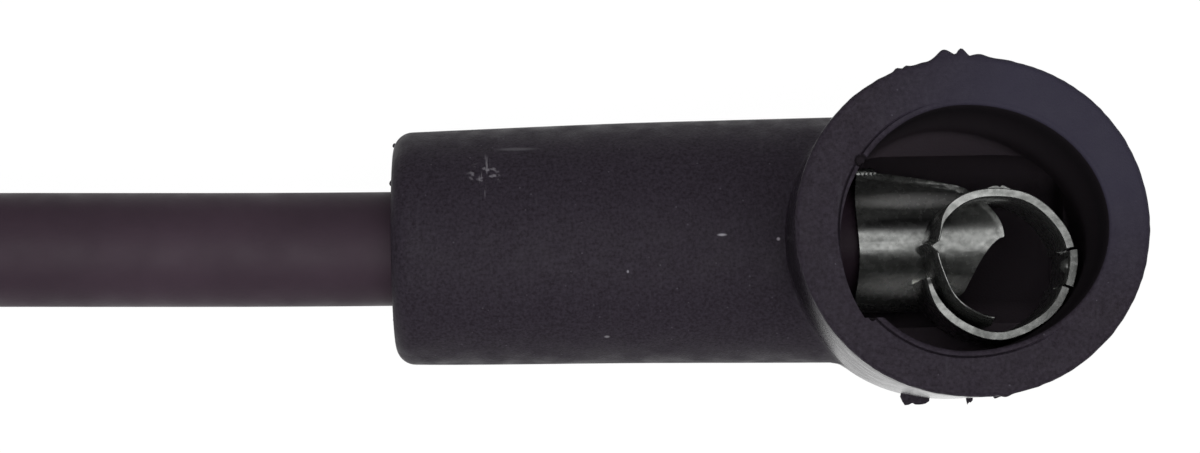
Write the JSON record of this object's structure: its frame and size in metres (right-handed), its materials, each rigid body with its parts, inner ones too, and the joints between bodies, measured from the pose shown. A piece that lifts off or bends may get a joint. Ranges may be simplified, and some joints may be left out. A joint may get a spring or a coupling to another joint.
{
  "type": "spark plug wire",
  "caption": "Black ignition lead with an elbow boot and rolled socket terminal at one end, a straight plug boot at the other, and its spare length coiled and tied.",
  "frame": {"origin": "on the surface, under the middle of the elbow boot's box, cable and plug end left out", "axes": "+X from the cable's entry along the arm to the barrel, +Z out of the barrel's mouth, +Y across"},
  "size_m": [0.1443, 0.0908, 0.0299],
  "materials": {
    "boot_rubber": "matt black moulded rubber with a fine grain",
    "cable_jacket": "satin black extruded jacket",
    "cable_core": "dull black carbon-filled fibre strand",
    "terminal_sheet": "tarnished plated sheet, half bright",
    "spring_wire": "drawn spring wire",
    "tie_strap": "black moulded strap"
  },
  "bodies": {
    "root": {"distributor_boot": "boot_rubber", "distributor_terminal": "terminal_sheet", "distributor_core_end": "cable_core", "cable_run": "cable_jacket", "cable_coil": "cable_jacket", "coil_tie": "tie_strap", "cable_tail": "cable_jacket", "plug_boot": "boot_rubber", "plug_terminal": "terminal_sheet", "plug_terminal_spring": "spring_wire", "plug_core_end": "cable_core"}
  },
  "joints": []
}
